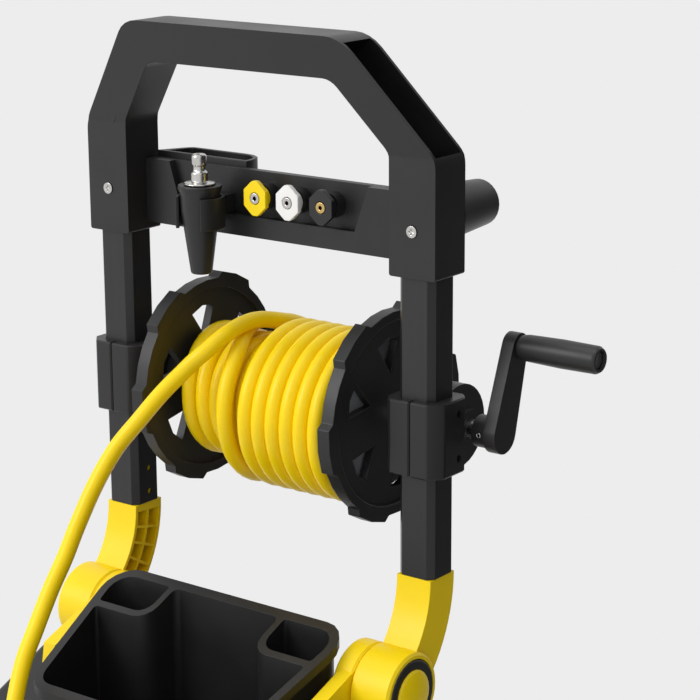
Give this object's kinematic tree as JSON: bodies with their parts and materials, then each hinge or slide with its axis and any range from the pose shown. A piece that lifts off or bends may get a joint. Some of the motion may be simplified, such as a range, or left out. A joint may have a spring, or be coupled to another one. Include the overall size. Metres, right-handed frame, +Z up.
{
  "type": "pressure washer trolley with hose reel",
  "caption": "Wheeled trolley with a folding post handle, cranked hose reel, nozzle board, storage bin and yellow high-pressure hose.",
  "frame": {"origin": "on the floor, below the middle of the cart's box without its free hose", "axes": "+Z up, -Y towards the front where the storage bin and the switch are, +X towards the reel's crank"},
  "size_m": [0.498, 0.4732, 0.8945],
  "materials": {
    "satin_black_plastic": "fine-grained satin black moulding",
    "black_aluminium": "black anodised, satin",
    "yellow_plastic": "smooth bright yellow moulding",
    "yellow_hose": "smooth yellow hose cover, semi-gloss",
    "bright_steel": "bright turned steel",
    "white_plastic": "smooth white moulding",
    "grey_plastic": "light grey moulding",
    "grey_metal": "cast metal, bead-blasted",
    "black_rubber": "matt black rubber",
    "brass": "turned brass"
  },
  "bodies": {
    "chassis": {"base_tray": "satin_black_plastic", "body_front": "satin_black_plastic", "body_back": "satin_black_plastic", "motor": "grey_metal", "pump": "grey_metal", "water_inlet": "brass", "hose_outlet": "brass", "cord_gland": "black_rubber", "axle": "bright_steel", "foot_left": "black_rubber", "foot_right": "black_rubber", "storage_bin": "satin_black_plastic", "knuckle_left": "yellow_plastic", "knuckle_right": "yellow_plastic", "hose_run": "yellow_hose", "hose_connector": "bright_steel"},
    "handle": {"handle_grip": "satin_black_plastic", "post_left": "black_aluminium", "post_right": "black_aluminium", "cross_panel": "satin_black_plastic", "gun_rest": "satin_black_plastic", "lance_holder": "satin_black_plastic", "handle_screw_left": "bright_steel", "handle_screw_right": "bright_steel", "nozzle_clip": "satin_black_plastic", "arm_left": "yellow_plastic", "arm_right": "yellow_plastic", "hinge_pin_left": "satin_black_plastic", "hinge_pin_right": "satin_black_plastic", "clamp_inner_left": "satin_black_plastic", "clamp_inner_right": "satin_black_plastic", "clamp_outer_left": "satin_black_plastic", "clamp_outer_right": "satin_black_plastic", "swivel_inlet": "brass"},
    "reel": {"flange_left": "satin_black_plastic", "flange_right": "satin_black_plastic", "drum": "grey_plastic", "reel_shaft": "bright_steel", "crank_arm": "satin_black_plastic", "roll_pin": "bright_steel", "grip_pin": "bright_steel", "hose_coil": "yellow_hose"},
    "crank_grip": {"crank_grip": "satin_black_plastic"},
    "wheel_left": {"tyre_left": "black_rubber", "rim_left": "grey_plastic", "hubcap_left": "yellow_plastic"},
    "wheel_right": {"tyre_right": "black_rubber", "rim_right": "grey_plastic", "hubcap_right": "yellow_plastic"},
    "spray_nozzle_yellow": {"nozzle_yellow": "yellow_plastic", "nozzle_yellow_plug": "bright_steel"},
    "spray_nozzle_white": {"nozzle_white": "white_plastic", "nozzle_white_plug": "bright_steel"},
    "spray_nozzle_black": {"nozzle_black": "satin_black_plastic", "nozzle_black_plug": "brass"},
    "turbo_nozzle": {"turbo_nozzle_shell": "satin_black_plastic", "turbo_nozzle_plug": "bright_steel"},
    "fold_button_left": {"fold_button_left": "yellow_plastic"},
    "fold_button_right": {"fold_button_right": "yellow_plastic"},
    "power_switch": {"power_switch": "yellow_plastic"}
  },
  "joints": [
    {"name": "handle_fold", "type": "hinge", "parent": "chassis", "child": "handle", "pos_m": [-0.03, 0.0082, 0.3867], "axis": [1, 0, 0], "range_deg": [0, 90], "deforming": ["hose_run"]},
    {"name": "reel_spin", "type": "hinge", "parent": "handle", "child": "reel", "pos_m": [-0.03, 0.089, 0.5842], "axis": [1, 0, 0], "continuous": true},
    {"name": "crank_grip_spin", "type": "hinge", "parent": "reel", "child": "crank_grip", "pos_m": [0.249, 0.10993, 0.651], "axis": [1, 0, 0], "continuous": true},
    {"name": "wheel_left_spin", "type": "hinge", "parent": "chassis", "child": "wheel_left", "pos_m": [-0.222, 0.0675, 0.105], "axis": [1, 0, 0], "continuous": true},
    {"name": "wheel_right_spin", "type": "hinge", "parent": "chassis", "child": "wheel_right", "pos_m": [0.162, 0.0675, 0.105], "axis": [1, 0, 0], "continuous": true},
    {"name": "yellow_nozzle_pull", "type": "slide", "parent": "handle", "child": "spray_nozzle_yellow", "axis": [0, -1, 0], "range_m": [0, 0.04]},
    {"name": "white_nozzle_pull", "type": "slide", "parent": "handle", "child": "spray_nozzle_white", "axis": [0, -1, 0], "range_m": [0, 0.04]},
    {"name": "black_nozzle_pull", "type": "slide", "parent": "handle", "child": "spray_nozzle_black", "axis": [0, -1, 0], "range_m": [0, 0.04]},
    {"name": "turbo_nozzle_lift", "type": "slide", "parent": "handle", "child": "turbo_nozzle", "axis": [0, 0, 1], "range_m": [0, 0.06]},
    {"name": "fold_button_left_push", "type": "slide", "parent": "handle", "child": "fold_button_left", "axis": [1, 0, 0], "range_m": [0, 0.0035], "stiffness_N_per_m": 900, "springref_m": -0.002},
    {"name": "fold_button_right_push", "type": "slide", "parent": "handle", "child": "fold_button_right", "axis": [-1, 0, 0], "range_m": [0, 0.0035], "stiffness_N_per_m": 900, "springref_m": -0.002},
    {"name": "power_switch_turn", "type": "hinge", "parent": "chassis", "child": "power_switch", "pos_m": [0.065, -0.1565, 0.3], "axis": [0, -1, 0], "range_deg": [0, 90]}
  ]
}
